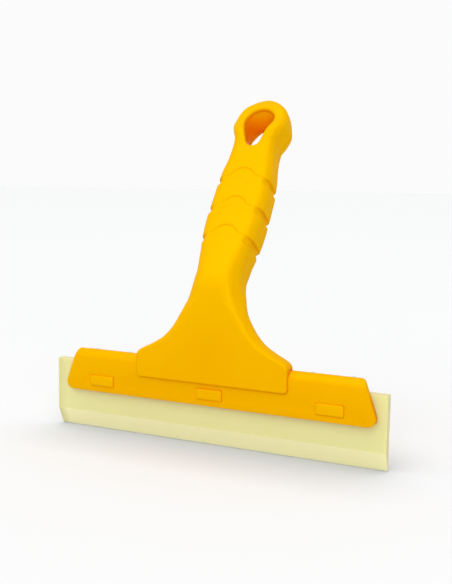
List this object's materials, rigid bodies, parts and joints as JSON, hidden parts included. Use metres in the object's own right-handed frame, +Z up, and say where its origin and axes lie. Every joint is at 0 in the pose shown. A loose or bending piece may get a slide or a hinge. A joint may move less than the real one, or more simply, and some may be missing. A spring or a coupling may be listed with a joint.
{
  "type": "hand squeegee",
  "caption": "Hand squeegee: a bevelled flexible blade clamped in slant-ended jaws under a flared head and a bent-back ribbed grip with a hanging eye.",
  "frame": {"origin": "on the blade's working edge, in the middle of the grip", "axes": "+X along the blade, to the right seen from the front; +Y to the back, the way the grip leans; +Z up from the working edge to the grip"},
  "size_m": [0.2, 0.0789, 0.1937],
  "materials": {
    "shell": "smooth, slightly glossy",
    "key": "smooth, slightly glossy",
    "blade": "translucent polyurethane, satin",
    "screw": "zinc-plated"
  },
  "bodies": {
    "holder": {"front_jaw": "shell", "rear_jaw": "shell", "key_left": "key", "key_centre": "key", "key_right": "key", "jaw_screws": "screw", "grip_body": "shell", "grip_cover": "shell", "grip_screws": "screw"},
    "blade": {"blade": "blade"}
  },
  "joints": [
    {"name": "blade_slide", "type": "slide", "parent": "holder", "child": "blade", "axis": [1, 0, 0], "range_m": [-0.2, 0.2]}
  ]
}
